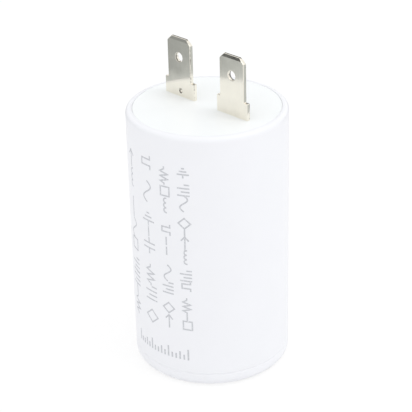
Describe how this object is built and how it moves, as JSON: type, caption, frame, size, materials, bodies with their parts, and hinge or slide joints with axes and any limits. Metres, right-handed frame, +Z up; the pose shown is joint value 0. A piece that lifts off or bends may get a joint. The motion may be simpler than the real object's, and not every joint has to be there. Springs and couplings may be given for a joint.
{
  "type": "motor run capacitor",
  "caption": "Round white moulded case with a rounded rim and a flat lid set in its mouth, and flat blade terminals in line on the lid.",
  "frame": {"origin": "centre of the case's flat bottom face", "axes": "+Z up along the case's axis; the blade terminals stand in line along X, terminal a on the +X side; the blades' faces look along +Y and -Y"},
  "size_m": [0.032, 0.032, 0.0672],
  "materials": {
    "case_plastic": "moulded white, fine satin gloss",
    "lid_plastic": "moulded white, fine satin gloss",
    "tab_metal": "bright tin plating over stamped brass",
    "print_ink": "thin grey marking ink",
    "core_plastic": "extruded natural plastic tube",
    "winding_film": "metallised film, satin silver",
    "zinc_spray": "rough sprayed zinc",
    "lead_metal": "tinned copper wire",
    "sleeve_plastic": "soft natural sleeve",
    "solder_metal": "satin solder",
    "resin": "cast resin, dark grey"
  },
  "bodies": {
    "root": {"case": "case_plastic", "terminal_lid": "lid_plastic", "terminal_tab_a": "tab_metal", "terminal_tab_b": "tab_metal", "winding_core": "core_plastic", "film_winding": "winding_film", "lower_end_spray": "zinc_spray", "upper_end_spray": "zinc_spray", "lower_lead_wire": "lead_metal", "upper_lead_wire": "lead_metal", "lead_sleeve": "sleeve_plastic", "lower_spray_solder": "solder_metal", "upper_spray_solder": "solder_metal", "tab_a_solder": "solder_metal", "tab_b_solder": "solder_metal", "potting_resin": "resin"}
  },
  "joints": []
}
